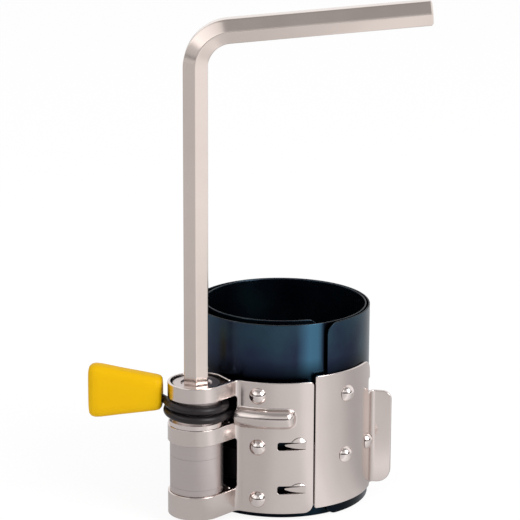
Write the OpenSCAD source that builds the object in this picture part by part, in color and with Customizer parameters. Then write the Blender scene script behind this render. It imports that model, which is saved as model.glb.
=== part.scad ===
// Piston ring compressor
// A wound spring-steel sleeve is drawn tight by a strap that winds on a keyed spindle.
// A wrap spring on the spindle holds the tension until its grip is pressed.
// Origin: axis of the innermost turn of the sleeve, at its bottom edge. +Z is up, the front is -Y.

/* [Sleeve band] */
// Bore of the innermost turn
bore_d = 52; // [49:0.5:54]
// Height of the band
band_h = 67.6; // [62:0.2:76]
// Thickness of the band
band_t = 0.5; // [0.4:0.05:0.55]
// Radius gained over the first half turn
growth_inner = 2.75; // [2.4:0.05:3.2]
// Radius gained over the second half turn
growth_middle = 0.4; // [0.35:0.05:0.6]
// Radius gained over the third half turn
growth_outer = 0.75; // [0.7:0.05:0.9]
// Angle of the free inner end
band_inner_end = 298; // [285:1:320]
// Angle of the outer end, under the clamp plate
band_outer_end = -59; // [-62:1:-52]
// Corner radius of both ends
band_corner = 4; // [1:0.5:6]

/* [Plates] */
// Sheet thickness of both plates
plate_t = 1; // [0.8:0.05:1.1]
// Clearance between the outer turn and the clamp plate
lap_gap = 0.15; // [0.1:0.05:0.2]
// Clearance between the strap and the bracket plate
bracket_gap = 1.15; // [1:0.05:1.3]
// Bottom edge of the bracket plate
bracket_z0 = 2.4; // [2:0.1:3]
// Top edge of the bracket plate
bracket_z1 = 48.5; // [47.5:0.1:50]
// Angle at which the bracket plate folds out towards the spindle
fold_a = 245.8; // [245.6:0.2:247]
// Radius of that fold on the middle of the sheet
fold_r = 2.5; // [2:0.25:2.5]
// Angle of the edge of the windows between the loops
window_a = 242.4; // [242.2:0.1:242.6]
// Corner radius of the windows
window_corner = 1.2; // [0.8:0.1:1.6]
// Angle of the slit between the two plates
slit_a = 291.2; // [289:0.2:293]
// Width of the slit
slit_w = 0.65; // [0.4:0.05:1]
// Bottom edge of the clamp plate
clamp_z0 = 3.5; // [3:0.1:4.2]
// Top edge of the clamp plate
clamp_z1 = 50.2; // [49:0.1:53]
// Corner radius beside the slit
slit_corner = 1.5; // [0.5:0.25:2.5]

/* [Thumb flange] */
// Angle where the clamp plate bends out into the flange
bend_a = -12; // [-14:0.5:-10]
// Radius of the bend on its front face
bend_r = 1.6; // [1:0.1:2]
// How far the flange stands out from the plate
flange_out = 7; // [5:0.25:9]
// Bottom edge of the flange
flange_z0 = 4.4; // [4.3:0.1:6]
// Top edge of the flange
flange_z1 = 37.6; // [34:0.2:40]
// Angle to which the relief notch is cut back
notch_a = -17.5; // [-20:0.5:-16]
// Bottom edge of the ear above the notch
ear_z0 = 43.1; // [42:0.1:44]
// Angle of the ear's free edge
ear_a = -14.5; // [-15.5:0.5:-13]
// Rounded top corner of the ear
ear_corner = 5.5; // [3:0.25:6]

/* [Loops and spindle] */
// Distance of the spindle from the outer turn's axis
spindle_reach = 40.5; // [40.3:0.1:41.2]
// Direction of the spindle from the outer turn's axis
spindle_dir = 226.2; // [225:0.2:227]
// Diameter of the spindle in its loops
journal_d = 17.1; // [16.8:0.1:17.3]
// Radial running clearance in the loops
running_gap = 0.05; // [0.03:0.01:0.08]
// Top edge of the bottom loop
loop_bottom_z1 = 10.4; // [9.5:0.1:11.2]
// Bottom edge of the middle loop
loop_middle_z0 = 28.3; // [28:0.1:29]
// Top edge of the middle loop
loop_middle_z1 = 33.9; // [33.4:0.1:34]
// Bottom edge of the top loop
loop_top_z0 = 43.2; // [43.2:0.1:44]
// Angle at which the loops end, behind the spindle
loop_end_a = -4; // [-4:1:30]
// Diameter of the barrel between the loops, flush with the wound strap
barrel_d = 17.8; // [17.6:0.1:18]
// Diameter of the core under the wound strap
core_d = 12.4; // [11.8:0.1:13]
// Height of the socket's mouth
spindle_z1 = 47.9; // [47:0.1:48.4]

/* [Tension strap] */
// Thickness of the strap
strap_t = 0.35; // [0.25:0.05:0.4]
// Bottom edge of the strap
strap_z0 = 12.7; // [12.5:0.1:13.2]
// Top edge of the strap
strap_z1 = 23.3; // [22.8:0.1:23.4]
// Bottom edge of the strap's wide head
head_z0 = 4; // [3.8:0.1:6]
// Top edge of the strap's wide head
head_z1 = 26.4; // [24:0.1:27]
// Length of the wide head past the slit, in degrees
head_lap = 5; // [3:0.5:6]
// Clearance between the strap and its roll
nip_gap = 0.3; // [0.25:0.05:0.5]

/* [Rivets] */
// Diameter of the domed heads
rivet_head_d = 5.7; // [5:0.1:6]
// Height of the domed heads
rivet_head_h = 2; // [1.6:0.1:2.4]
// Diameter of the shanks
rivet_d = 3; // [2.6:0.1:3.2]
// Clearance round a shank
rivet_gap = 0.05; // [0.03:0.01:0.08]
// Angle of the column of rivets in the bracket plate
bracket_rivet_a = 256.2; // [255:0.2:258]

/* [Wrap spring and grip] */
// Wire diameter
wire_d = 2.7; // [2.5:0.05:2.75]
// Rise per turn
wire_pitch = 3; // [2.95:0.05:3.05]
// Clearance between the coil and its drum
drum_gap = 0.07; // [0.05:0.01:0.09]
// Height where the coil begins
coil_z0 = 37.2; // [37.1:0.05:37.2]
// Thickness of the washer under the coil
washer_t = 1.5; // [1:0.1:1.6]
// Height of the anchor bead on the bracket plate
bead_z = 36; // [35.8:0.1:36.2]
// Radius of the anchor bead
bead_r = 3.4; // [3.2:0.1:3.6]
// Angle at which the bead begins to close
bead_end_a = 272.8; // [270:0.2:275]
// Direction of the grip from the spindle
grip_dir = 174; // [170:1:178]
// Distance of the grip's inner end from the spindle
grip_r0 = 12.2; // [12:0.1:13.5]
// Distance of the grip's outer end from the spindle
grip_r1 = 36.6; // [32:0.2:42]
// Height of the grip's axis
grip_z = 43.9; // [43.5:0.1:44.5]
// Height of the grip at its inner end
grip_h0 = 12; // [10:0.2:14]
// Height of the grip at its outer end
grip_h1 = 18.8; // [14:0.2:22]
// Thickness of the grip
grip_t = 8; // [7:0.2:10]

/* [Hex key] */
// Width across flats
key_af = 8; // [7:0.5:8]
// Clearance on each flat in the socket
key_gap = 0.05; // [0.03:0.01:0.1]
// Height of the key's lower tip
key_z0 = 23; // [22:0.5:30]
// Height where the bend begins
bend_z = 154; // [110:1:170]
// Bend radius on the axis
key_bend = 12; // [8:0.5:14]
// Direction of the arm
arm_dir = 0; // [-30:1:60]
// How far the arm rises from level, in degrees
arm_rise = 5.5; // [0:0.5:8]
// Length of the arm past the bend
arm_length = 65; // [45:0.5:85]

/* [Hidden] */
$fn = 96;
// A hair's width, so that surfaces cross where they would only touch
hair = 0.03;

function polar(r, a) = [r * cos(a), r * sin(a)];
function angle_of(v) = atan2(v.y, v.x);

// The spiral: each half turn is an arc about its own centre, tangent to the next
turn1_r = bore_d / 2;
turn2_r = turn1_r + growth_inner;
turn3_r = turn2_r + growth_middle;
lap_r = turn3_r + growth_outer;
turn1_c = [0, 0];
turn2_c = turn1_c - [0, growth_inner];
turn3_c = turn2_c + [0, growth_middle];
lap_c = turn3_c - [0, growth_outer];

// The stack on the outer turn: strap, lap of the band, clamp plate, and the bracket plate in front
strap_out = lap_r - lap_gap;
strap_in = strap_out - strap_t;
strap_mid = strap_out - strap_t / 2;
clamp_in = lap_r + band_t + lap_gap;
clamp_out = clamp_in + plate_t;
bracket_in = strap_out + bracket_gap;
bracket_out = bracket_in + plate_t;
bracket_mid = bracket_in + plate_t / 2;
slit_half = slit_w / 2 / bracket_mid * 180 / PI;
bracket_edge = slit_a - slit_half;
clamp_edge = slit_a - 360 + slit_half;

// Spindle and its loops
spindle_c = lap_c + polar(spindle_reach, spindle_dir);
journal_r = journal_d / 2;
loop_in = journal_r + running_gap;
loop_mid = loop_in + plate_t / 2;
barrel_r = barrel_d / 2;
core_r = core_d / 2;
shoulder_gap = 0.15;
roll_gap = 0.05;

// The strip to the loops touches the loop on one side and the fold on the other
fold_c = lap_c + polar(bracket_mid + fold_r, fold_a);
fold_v = fold_c - spindle_c;
strip_sum = loop_mid + fold_r;
strip_a = angle_of(fold_v) - acos(strip_sum / norm(fold_v));
strip_len = sqrt(norm(fold_v) * norm(fold_v) - strip_sum * strip_sum);
window_x = lap_c.x + bracket_mid * cos(window_a);

// The strap leaves the sleeve on the line that touches both the sleeve and its roll
nip_r = barrel_r + nip_gap + strap_t / 2;
nip_turn = acos((strap_mid + nip_r) / spindle_reach);
nip_a = spindle_dir + nip_turn;
nip_len = spindle_reach * sin(nip_turn);
head_end = clamp_edge - head_lap;
strap_end = bend_a - 3;

// Rivets: angle and height
rivet_r = rivet_d / 2;
rivet_hole_r = rivet_r + rivet_gap;
bracket_rivet_z = [43.7, 25.7, 7.2];
bracket_rivets = [for (z = bracket_rivet_z) [bracket_rivet_a, z]];
clamp_rivets = [[-44.5, 42.1], [-45.5, 20.5], [-19, 21.2]];

// Wrap spring: the coil rises clockwise from the anchor in the bead to the grip
wire_r = wire_d / 2;
drum_step = 0.3;
drum_r = journal_r - drum_step;
coil_r = drum_r + drum_gap + wire_r;
coil_half_turns = 3;
coil_tilt = asin(wire_pitch / 4 / coil_r);
coil_end_r = coil_r * cos(coil_tilt);
bead_sink = 0.5;
bead_wall = 1.3;
bead_c_r = bracket_out - bead_sink;
bead_cavity_r = bead_r - bead_wall;
anchor_a = window_a - 4;
anchor_p = lap_c + polar(bead_c_r, anchor_a);
anchor_v = anchor_p - spindle_c;
coil_a0 = angle_of(anchor_v) - acos(coil_end_r / norm(anchor_v));
coil_a1 = coil_a0 - 180 * coil_half_turns;
coil_z1 = coil_z0 + coil_half_turns * wire_pitch / 2;
tang_out_r = coil_r + 1.9;
tang_rise_r = grip_r0 + 2;
tang_end_r = grip_r1 - 7;
washer_z0 = loop_middle_z1 + 0.05;

// Lanced tongues in the bracket plate
lance_a = 285.5;
lance_len = 9.4;
lance_h = 2.9;
lance_bend = 14;
lance_z = [26.35, 10.85];

// Hex sizes to the corners
key_corner_r = key_af / 2 / cos(30);
socket_corner_r = (key_af / 2 + key_gap) / cos(30);
socket_z0 = key_z0 - 2;

// Plan of a curved wall about centre c, from angle a0 to a1
module arc_plan(c, r, t, a0, a1) {
    steps = ceil((a1 - a0) / 60);
    far = 3 * r;
    translate(c) intersection() {
        difference() {
            circle(r = r + t);
            circle(r = r);
        }
        polygon(concat([[0, 0]], [for (i = [0:steps]) polar(far, a0 + (a1 - a0) * i / steps)]));
    }
}

// A curved wall about centre c, from angle a0 to a1
module arc_wall(c, r, t, a0, a1, z0, z1) {
    translate([c.x, c.y, z0]) rotate([0, 0, a0])
        rotate_extrude(angle = a1 - a0) translate([r, 0]) square([t, z1 - z0]);
}

// Room of 30 degrees from angle a on, about centre c
module sector(c, a, z0, z1) {
    far = 3 * clamp_out;
    translate([c.x, c.y, z0]) rotate([0, 0, a]) linear_extrude(z1 - z0)
        polygon([[0, 0], [far, 0], polar(far, 30)]);
}

// A round bar that follows an arc about centre c
module arc_bar(c, r, bar_r, a0, a1, z) {
    translate([c.x, c.y, z]) rotate([0, 0, a0])
        rotate_extrude(angle = a1 - a0) translate([r, 0]) circle(r = bar_r);
}

// A round bar along the radius at angle a
module radial_bar(c, r0, r1, a, z, bar_r) {
    translate([c.x, c.y, z]) rotate([0, 0, a]) translate([r0, 0, 0])
        rotate([0, 90, 0]) cylinder(r = bar_r, h = r1 - r0);
}

// What rounding takes off a wall's corner at angle a and height z.
// The wall lies on the side_a side of that angle and on the side_z side of that height.
module corner_cut(c, r, a, z, corner_r, side_a, side_z, depth = 2) {
    over = 1;
    reach = corner_r - hair;
    translate([c.x, c.y, z]) rotate([0, 0, a]) translate([r, 0, 0]) difference() {
        translate([-depth, side_a > 0 ? -over : -reach, side_z > 0 ? -over : -reach])
            cube([2 * depth, reach + over, reach + over]);
        translate([0, side_a * reach, side_z * reach])
            rotate([0, 90, 0]) cylinder(r = corner_r, h = 3 * depth, center = true);
    }
}

// A straight round bar from p to q
module wire_run(p, q, bar_r) {
    v = q - p;
    translate(p) rotate([0, acos(v.z / norm(v)), atan2(v.y, v.x)])
        cylinder(r = bar_r, h = norm(v));
}

// Wound band with a free inner end and rounded corners
module sleeve_band() {
    corner_depth = 1;
    cut_r = lap_r + 0.6;
    hole_depth = 3;
    color("#1f3a55") difference() {
        linear_extrude(band_h) {
            arc_plan(turn1_c, turn1_r, band_t, 90, band_inner_end);
            arc_plan(turn2_c, turn2_r, band_t, -90, 90);
            arc_plan(turn3_c, turn3_r, band_t, 90, 270);
            arc_plan(lap_c, lap_r, band_t, band_outer_end, 90);
        }
        for (end = [[band_h, -1], [0, 1]]) {
            corner_cut(turn1_c, turn1_r, band_inner_end, end[0], band_corner, -1, end[1]);
            corner_cut(lap_c, cut_r, band_outer_end, end[0], band_corner, 1, end[1], corner_depth);
        }
        for (p = bracket_rivets)
            radial_bar(lap_c, turn3_r - hole_depth, bracket_in, p[0], p[1], rivet_hole_r);
        for (p = clamp_rivets)
            radial_bar(lap_c, strap_in, clamp_in, p[0], p[1], rivet_hole_r);
    }
}

// Plan of the bent sheet: the curved wall, its fold, the strip and the loop round the spindle
module bracket_plan() {
    lap = 0.3;
    fold_lap = lap / fold_r * 180 / PI;
    strip_t = plate_t - 4 * hair;
    arc_plan(lap_c, bracket_in, plate_t, fold_a, bracket_edge);
    arc_plan(fold_c, fold_r - plate_t / 2 + hair, plate_t - 2 * hair,
        fold_a - 180 - fold_lap, strip_a + 180 + fold_lap);
    translate(spindle_c) rotate(strip_a) translate([loop_mid - strip_t / 2, -lap])
        square([strip_t, strip_len + 2 * lap]);
    arc_plan(spindle_c, loop_in, plate_t, loop_end_a, 360 + strip_a);
}

// What is cut out between two loops, with rounded corners beside the plate
module window(z0, z1) {
    far = 2 * spindle_reach;
    reach = window_corner - hair;
    over = 1;
    translate([window_x, 0, z0]) rotate([90, 0, 0]) linear_extrude(far) difference() {
        translate([-far, 0]) square([far, z1 - z0]);
        for (end = [[0, 1], [z1 - z0, -1]]) translate([0, end[0]]) scale([1, end[1]]) difference() {
            translate([-reach, -over]) square([reach + over, reach + over]);
            translate([-reach, reach]) circle(r = window_corner);
        }
    }
}

// Half-round bead pressed out of the plate, cut square beside the windows, with a domed right end
module bead() {
    seat_r = bracket_in + 0.4;
    sink = bead_c_r - seat_r - hair;
    far = 2 * bead_r;
    start_a = window_a - 4;
    difference() {
        translate([lap_c.x, lap_c.y, bead_z]) rotate([0, 0, start_a])
            rotate_extrude(angle = bead_end_a - start_a) intersection() {
                translate([bead_c_r, 0]) circle(r = bead_r);
                translate([seat_r, -bead_r]) square([far, far]);
            }
        translate([window_x + hair - far, lap_c.y - bracket_out - far, bead_z - far])
            cube([far, bracket_out + far, 2 * far]);
    }
    translate([lap_c.x, lap_c.y, bead_z]) rotate([0, 0, bead_end_a]) translate([bead_c_r, 0, 0])
        rotate([0, 90, 0]) intersection() {
            sphere(r = bead_r - hair);
            translate([0, 0, -sink]) cylinder(r = far, h = far);
        }
}

// Tongue lanced from the plate, its free tip bent in to guide the strap's edge
module tongue(z) {
    tongue_t = plate_t * 0.85;
    root = 0.3;
    root_h = lance_h * 0.78;
    neck_h = root_h * 0.7;
    tip_h = root_h * 0.3;
    reach = lance_len - 1.2;
    translate([lap_c.x, lap_c.y, z]) rotate([0, 0, lance_a]) translate([bracket_in + hair, 0, 0])
        rotate([0, 0, -lance_bend]) rotate([0, 90, 0]) linear_extrude(tongue_t) polygon([
            [-root_h / 2, root], [root_h / 2, root], [neck_h / 2, 1 - reach], [tip_h / 2, -reach],
            [-tip_h / 2, -reach], [-neck_h / 2, 1 - reach]
        ]);
}

// Left plate: curved sheet with the spindle's loops, the anchor bead and two tongues
module bracket_plate() {
    color("#c9c4bd") union() {
        difference() {
            union() {
                translate([0, 0, bracket_z0]) linear_extrude(bracket_z1 - bracket_z0) bracket_plan();
                bead();
            }
            window(loop_bottom_z1, loop_middle_z0);
            window(loop_middle_z1, loop_top_z0);
            arc_bar(lap_c, bead_c_r, bead_cavity_r, window_a - 6, bead_end_a, bead_z);
            for (p = bracket_rivets)
                radial_bar(lap_c, bracket_in - 1, bracket_out + 1, p[0], p[1], rivet_hole_r);
            for (z = lance_z) translate([lap_c.x, lap_c.y, z]) rotate([0, 0, lance_a])
                translate([bracket_in - 2, -lance_len, -lance_h / 2]) cube([4, lance_len, lance_h]);
            corner_cut(lap_c, bracket_in, bracket_edge, bracket_z1, slit_corner, -1, -1);
            corner_cut(lap_c, bracket_in, bracket_edge, bracket_z0, slit_corner * 2, -1, 1);
        }
        for (z = lance_z) tongue(z);
    }
}

// Right plate: curved sheet bent out into a thumb flange, with a relief notch above it
module clamp_plate() {
    bend_c_r = clamp_out + bend_r;
    flange_r = clamp_out + flange_out;
    flange_corner_top = 3;
    flange_corner_bottom = 5;
    bend_lap = 0.6;
    flange_lap = 0.4;
    color("#c9c4bd") difference() {
        union() {
            difference() {
                arc_wall(lap_c, clamp_in, plate_t, clamp_edge, bend_a + bend_lap, clamp_z0, clamp_z1);
                sector(lap_c, notch_a, flange_z1, ear_z0);
                sector(lap_c, ear_a, ear_z0 - 1, clamp_z1 + 1);
            }
            translate([lap_c.x, lap_c.y, flange_z0]) rotate([0, 0, bend_a])
                linear_extrude(flange_z1 - flange_z0 - hair) {
                    arc_plan([bend_c_r, 0], bend_r + hair, plate_t - 2 * hair, 90, 180);
                    translate([bend_c_r - flange_lap, bend_r])
                        square([flange_r - bend_c_r + flange_lap, plate_t]);
                }
        }
        corner_cut(lap_c, clamp_in, clamp_edge, clamp_z1, slit_corner * 0.6, 1, -1);
        corner_cut(lap_c, clamp_in, clamp_edge, clamp_z0, slit_corner * 0.6, 1, 1);
        corner_cut(lap_c, clamp_in, ear_a, clamp_z1, ear_corner, -1, -1);
        for (p = clamp_rivets)
            radial_bar(lap_c, clamp_in - 1, clamp_out + 1, p[0], p[1], rivet_hole_r);
        translate([lap_c.x, lap_c.y, 0]) rotate([0, 0, bend_a]) translate([flange_r, bend_r, 0])
            for (c = [[flange_z0, flange_corner_bottom, 1], [flange_z1, flange_corner_top, -1]])
                flange_corner_cut(c[0], c[1], c[2]);
    }
}

// What rounding takes off the flange's free corner at height z
module flange_corner_cut(z, corner_r, side_z) {
    over = 1;
    reach = corner_r - hair;
    difference() {
        translate([-reach, -over, side_z > 0 ? z - over : z - reach])
            cube([reach + over, plate_t + 2 * over, reach + over]);
        translate([-reach, plate_t / 2, z + side_z * reach])
            rotate([90, 0, 0]) cylinder(r = corner_r, h = 4 * plate_t, center = true);
    }
}

// Domed rivet seated at radius seat, its shank reaching in to radius inner
module rivet(place, seat, inner, tail_h = 0) {
    head_r = rivet_head_d / 2;
    dome_r = (head_r * head_r + rivet_head_h * rivet_head_h) / 2 / rivet_head_h;
    tail_r = rivet_r * 1.6;
    color("#d8d5cf") translate([lap_c.x, lap_c.y, place[1]]) rotate([0, 0, place[0]])
        rotate([0, 90, 0]) {
            translate([0, 0, seat]) intersection() {
                translate([0, 0, rivet_head_h - dome_r]) sphere(r = dome_r);
                cylinder(r = head_r, h = rivet_head_h + 1);
            }
            translate([0, 0, inner]) cylinder(r = rivet_r, h = seat - inner + 0.2);
            if (tail_h > 0) translate([0, 0, inner - tail_h]) cylinder(r = tail_r, h = tail_h);
        }
}

// A bracket rivet is headed over inside the second turn of the band
module bracket_rivet(i) {
    turn_in = turn3_r + growth_outer * sin(bracket_rivet_a);
    rivet(bracket_rivets[i], bracket_out, turn_in - 0.15, 0.8);
}

// The clamp rivets finish flush, so that the lap can slide
module clamp_rivet(i, inner) {
    rivet(clamp_rivets[i], clamp_out, inner);
}

// Strap from its wide head under the clamp plate, round behind the bracket plate to the roll
module tension_strap() {
    head_lap_a = 0.6;
    run_lap = 0.4;
    color("#9b9da0") difference() {
        union() {
            arc_wall(lap_c, strap_in, strap_t, head_end, strap_end, head_z0, head_z1);
            arc_wall(lap_c, strap_in + hair, strap_t - 2 * hair, nip_a - 360, head_end + head_lap_a,
                strap_z0 + hair, strap_z1 - hair);
            translate([lap_c.x, lap_c.y, strap_z0]) rotate([0, 0, nip_a]) translate([strap_in, -nip_len, 0])
                cube([strap_t, nip_len + run_lap, strap_z1 - strap_z0]);
        }
        for (i = [1, 2])
            radial_bar(lap_c, strap_in - 1, clamp_in, clamp_rivets[i][0], clamp_rivets[i][1], rivet_hole_r);
    }
}

// Turns of the strap already wound in the barrel's groove
module strap_roll() {
    color("#9b9da0") translate([spindle_c.x, spindle_c.y, strap_z0]) difference() {
        cylinder(r = barrel_r, h = strap_z1 - strap_z0);
        translate([0, 0, -1]) cylinder(r = core_r + roll_gap, h = strap_z1 - strap_z0 + 2);
    }
}

// Turned spindle: three journals, a grooved barrel, a drum for the wrap spring and a hex socket
module spindle() {
    barrel_z0 = loop_bottom_z1 + shoulder_gap;
    barrel_z1 = loop_middle_z0 - shoulder_gap;
    groove_z0 = strap_z0 - roll_gap;
    groove_z1 = strap_z1 + roll_gap;
    chamfer = 0.5;
    mouth_r = socket_corner_r + 0.6;
    color("#a9abae") translate([spindle_c.x, spindle_c.y, 0]) difference() {
        rotate_extrude() polygon([
            [0, bracket_z0], [journal_r, bracket_z0],
            [journal_r, barrel_z0], [barrel_r, barrel_z0],
            [barrel_r, groove_z0], [core_r, groove_z0],
            [core_r, groove_z1], [barrel_r, groove_z1],
            [barrel_r, barrel_z1], [journal_r, barrel_z1],
            [journal_r, loop_middle_z1], [drum_r, loop_middle_z1],
            [drum_r, loop_top_z0], [journal_r, loop_top_z0],
            [journal_r, spindle_z1 - chamfer], [journal_r - chamfer, spindle_z1], [0, spindle_z1]
        ]);
        rotate([0, 0, arm_dir + 30]) translate([0, 0, socket_z0])
            cylinder(r = socket_corner_r, h = spindle_z1, $fn = 6);
        translate([0, 0, spindle_z1 - chamfer])
            cylinder(r1 = mouth_r - chamfer, r2 = mouth_r + chamfer, h = 2 * chamfer);
    }
}

// Washer between the middle loop and the coil
module thrust_washer() {
    inner_r = drum_r + roll_gap;
    color("#d8d5cf") translate([spindle_c.x, spindle_c.y, washer_z0]) difference() {
        cylinder(r = loop_mid + 0.2, h = washer_t);
        translate([0, 0, -1]) cylinder(r = inner_r, h = washer_t + 2);
    }
}

// Free end of the spring wire, from the coil out into the grip
module grip_tang(bar_r) {
    start = spindle_c + polar(coil_end_r, coil_a1);
    out = spindle_c + polar(tang_out_r, grip_dir - 2);
    rise = spindle_c + polar(tang_rise_r, grip_dir);
    end = spindle_c + polar(tang_end_r, grip_dir);
    points = [
        [start.x, start.y, coil_z1], [out.x, out.y, coil_z1],
        [rise.x, rise.y, grip_z], [end.x, end.y, grip_z]
    ];
    for (i = [0:2]) {
        wire_run(points[i], points[i + 1], bar_r);
        translate(points[i]) sphere(r = bar_r + hair);
    }
}

// Fills the outside of the bend at the anchor, with its poles inside the wire
module elbow(p) {
    translate(p) rotate([-90, 0, 0]) rotate([0, 90, 0]) sphere(r = wire_r - 2 * hair);
}

// Wrap spring: half turns tilted to and fro, so that each runs smoothly into the next
module wrap_spring() {
    start_p = spindle_c + polar(coil_end_r, coil_a0);
    start = [start_p.x, start_p.y, coil_z0];
    anchor = [anchor_p.x, anchor_p.y, bead_z];
    run_lap = 0.1;
    color("#26262a") union() {
        for (i = [0:coil_half_turns - 1])
            translate([spindle_c.x, spindle_c.y, coil_z0 + (i + 0.5) * wire_pitch / 2])
                rotate([0, 0, coil_a0 - 180 * i]) rotate([0, coil_tilt, 0]) rotate([0, 0, -180]) {
                    rotate_extrude(angle = 180) translate([coil_r, 0]) circle(r = wire_r);
                    if (i > 0) translate([-coil_r, 0, 0]) sphere(r = wire_r + hair);
                }
        wire_run(anchor, start + run_lap * (start - anchor) / norm(start - anchor), wire_r - hair);
        elbow(anchor);
        arc_bar(lap_c, bead_c_r, wire_r, anchor_a, bead_end_a - 2, bead_z);
        grip_tang(wire_r);
    }
}

// Moulded paddle grip on the spring's free end
module release_grip() {
    edge_r = 3;
    ends = [[grip_r0 + edge_r, grip_h0 / 2 - edge_r], [grip_r1 - edge_r, grip_h1 / 2 - edge_r]];
    color("#f2be05") difference() {
        translate([spindle_c.x, spindle_c.y, grip_z]) rotate([0, 0, grip_dir]) hull()
            for (end = ends) for (y = [-1, 1]) for (z = [-1, 1])
                translate([end[0], y * (grip_t / 2 - edge_r), z * end[1]])
                    rotate([90, 0, 0]) sphere(r = edge_r, $fn = 32);
        grip_tang(wire_r + 0.1);
    }
}

// Hexagonal bar from the origin up, with a chamfered end
module key_bar(length) {
    chamfer_r = key_af / 2 - 0.2;
    intersection() {
        rotate([0, 0, 30]) cylinder(r = key_corner_r, h = length, $fn = 6);
        cylinder(r1 = chamfer_r, r2 = chamfer_r + length, h = length);
    }
}

// Bent hex key in the spindle's socket
module hex_key() {
    overlap = 0.8;
    bend_corner_r = key_corner_r - hair;
    color("#d2cec8") translate([spindle_c.x, spindle_c.y, 0]) rotate([0, 0, arm_dir]) union() {
        translate([0, 0, key_z0]) key_bar(bend_z - key_z0 + overlap);
        translate([key_bend, 0, bend_z]) {
            rotate([90, 0, 0]) rotate([0, 0, 90 + arm_rise]) rotate_extrude(angle = 90 - arm_rise)
                translate([key_bend, 0]) rotate(30) circle(r = bend_corner_r, $fn = 6);
            rotate([0, -arm_rise, 0]) translate([arm_length, 0, key_bend]) rotate([0, -90, 0])
                key_bar(arm_length + overlap);
        }
    }
}

sleeve_band();
bracket_plate();
clamp_plate();
bracket_rivet(0);  // bracket_rivet_upper
bracket_rivet(1);  // bracket_rivet_middle
bracket_rivet(2);  // bracket_rivet_lower
clamp_rivet(0, lap_r);  // clamp_rivet_upper
clamp_rivet(1, strap_in);  // clamp_rivet_lower
clamp_rivet(2, strap_in);  // clamp_rivet_edge
tension_strap();
strap_roll();
spindle();
thrust_washer();
wrap_spring();
release_grip();
hex_key();
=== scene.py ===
import math

import bmesh
import bpy
from mathutils import Matrix, Vector


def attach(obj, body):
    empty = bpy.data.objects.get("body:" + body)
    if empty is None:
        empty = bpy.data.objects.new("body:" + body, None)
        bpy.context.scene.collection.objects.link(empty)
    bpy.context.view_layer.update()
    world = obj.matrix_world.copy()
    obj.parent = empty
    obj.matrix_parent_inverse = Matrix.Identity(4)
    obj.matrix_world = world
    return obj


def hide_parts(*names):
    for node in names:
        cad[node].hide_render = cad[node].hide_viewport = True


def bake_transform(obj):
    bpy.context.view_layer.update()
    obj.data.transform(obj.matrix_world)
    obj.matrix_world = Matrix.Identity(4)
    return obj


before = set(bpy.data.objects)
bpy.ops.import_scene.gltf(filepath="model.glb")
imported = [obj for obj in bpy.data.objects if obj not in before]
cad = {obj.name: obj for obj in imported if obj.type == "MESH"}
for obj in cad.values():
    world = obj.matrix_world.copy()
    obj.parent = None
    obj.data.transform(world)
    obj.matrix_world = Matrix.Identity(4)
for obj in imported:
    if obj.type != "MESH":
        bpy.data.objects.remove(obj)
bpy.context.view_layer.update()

# Sizes are millimetres and degrees in the part's own frame, where +Z is up and the front is -Y.
# A name in _Z holds a low and a high edge, and one in _MID is a radius to the middle of a sheet.
MM = 0.001
TOUCH = 0.02

# Wound sleeve: an arc is its centre, its radius and its first and last angle
LAP_AXIS = (0.0, -3.1)
TURN_ARCS = (((0, 0), 26.25, 298, 90), ((0, -2.75), 29.0, 90, -90), ((0, -2.35), 29.4, 270, 90))
LAP_ARC = (LAP_AXIS, 30.15, 90, -59)
BAND_HEIGHT = 67.6
BAND_THICK = 0.5
BAND_CORNER = 4.0
BAND_BREAK = 0.1

# Bracket plate
PLATE_THICK = 1.0
PLATE_BREAK = 0.13
CUT_BREAK = 0.05
BRACKET_MID = 31.4
BRACKET_Z = (2.4, 48.5)
BRACKET_EDGE = 290.6
BRACKET_CORNERS = (3.0, 1.5)
FOLD_ANGLE = 245.8
FOLD_RADIUS = 2.5
WINDOW_X = -14.55
WINDOW_CORNER = 1.2

# Its loops round the spindle, which loosen to an angle and a radius and end in a lip
SPINDLE_AXIS = (-28.032, -32.331)
LOOP_MID = 9.1
LOOP_CORNER = 0.6
LOOP_LOOSENS = -240.0
LOOP_LOOSE = (-320.0, 10.2)
LOOP_LIP = (-16.9, -31.0)
LOOP_HEIGHTS = ((2.4, 10.4), (28.3, 33.9), (43.2, 48.5))

# Its anchor bead, from the spine out: dome, then fillet, then flat sheet
BEAD_Z = 36.0
BEAD_RADIUS = 3.4
BEAD_HOLLOW = 2.1
BEAD_DOME = 3.25
BEAD_FILLET = 0.7
BEAD_REACH = 3.92
BEAD_END = 272.8
BEAD_ANGLES = (240, 281)
BEAD_SQUARENESS = 2.5
BEAD_FLAT_ROWS = (-4.1, -3.8, -3.6, 3.6, 3.8, 4.1)

# Its lanced tongues, each with a raised lip above
LANCE_ANGLE = 285.5
LANCE_LENGTH = 9.4
LANCE_HEIGHT = 2.8
LANCE_CORNER = 0.5
LANCE_HEIGHTS = (26.35, 10.85)
LANCE_ROWS = (-1.7, 0, 1.6, 1.9, 2.2, 2.5, 2.8, 3.1, 3.4, 3.8)
TONGUE_LENGTH = 6.9
TONGUE_GAP = 0.14
TONGUE_NARROWS = 0.81
TONGUE_LEAF = 2.6
TONGUE_DROP = 0.4
TONGUE_DROP_RUN = 2.8
TONGUE_BEND = 14
LIP_RISES = (1.9, 1.2)
LIP_MIDDLE = 2.2
LIP_HALF = 2.9
LIP_SLOPE = 0.42
LIP_ROUND = 0.4

# Clamp plate and its flange
CLAMP_MID = 31.05
CLAMP_EDGE = -68.2
CLAMP_Z = (3.5, 50.2)
FLANGE_ANGLE = -12.0
FLANGE_BEND = 2.1
FLANGE_RUN = (38.55, 36.0)
FLANGE_Z = (4.4, 37.6)
NOTCH_ANGLES = (-14.5, -17.5)
NOTCH_TOP = 43.1

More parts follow.
